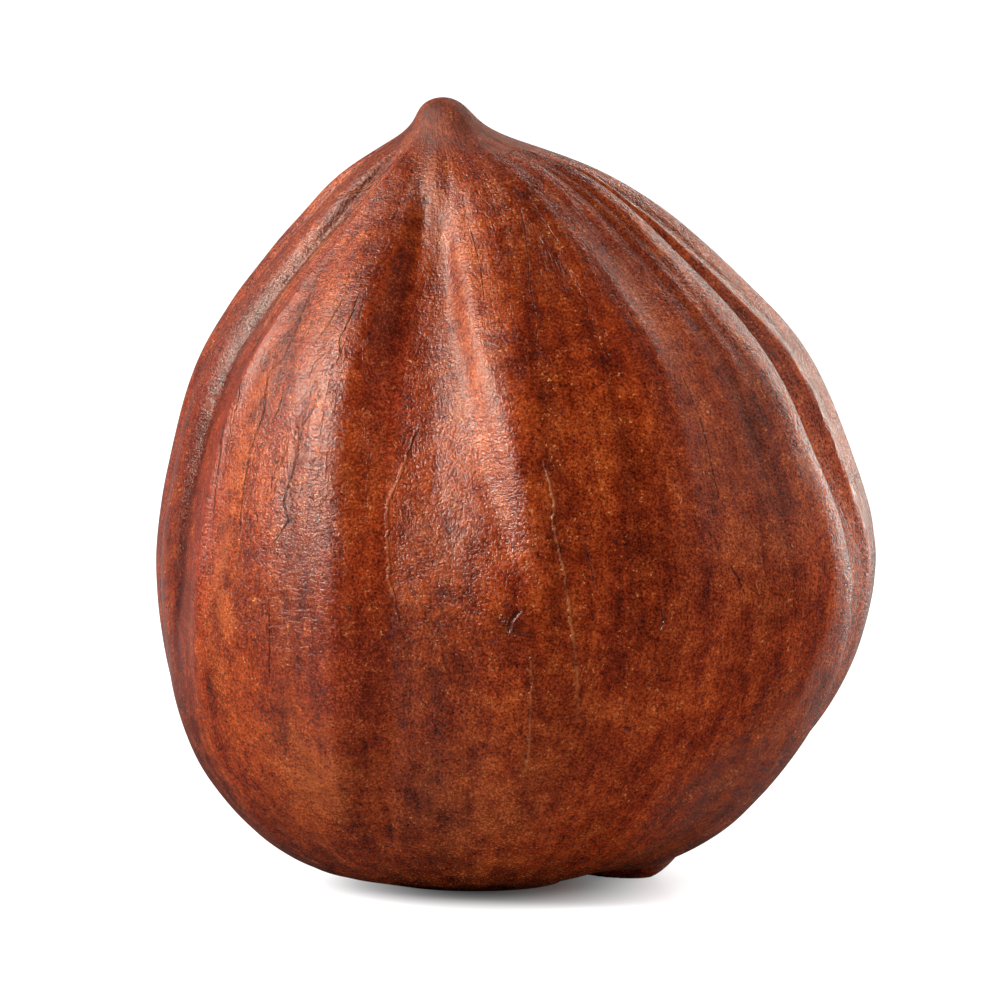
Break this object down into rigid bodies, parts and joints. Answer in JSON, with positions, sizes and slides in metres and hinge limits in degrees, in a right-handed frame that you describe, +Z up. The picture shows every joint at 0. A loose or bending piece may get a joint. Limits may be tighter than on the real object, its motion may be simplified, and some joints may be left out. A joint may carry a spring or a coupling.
{
  "type": "hazelnut kernel",
  "caption": "Shelled hazelnut kernel in its wrinkled brown skin: a plump drop with soft lengthwise ribs and grooves, a short pointed tip and a small flat spot to stand on.",
  "frame": {"origin": "on the small flat spot the kernel stands on, at floor level", "axes": "+Z up towards the pointed tip, -Y towards the pictured front, +X to the right as seen from the front"},
  "size_m": [0.0145, 0.0134, 0.0159],
  "materials": {
    "skin": "satin, dry papery skin with a low sheen"
  },
  "bodies": {
    "root": {"kernel": "skin"}
  },
  "joints": []
}
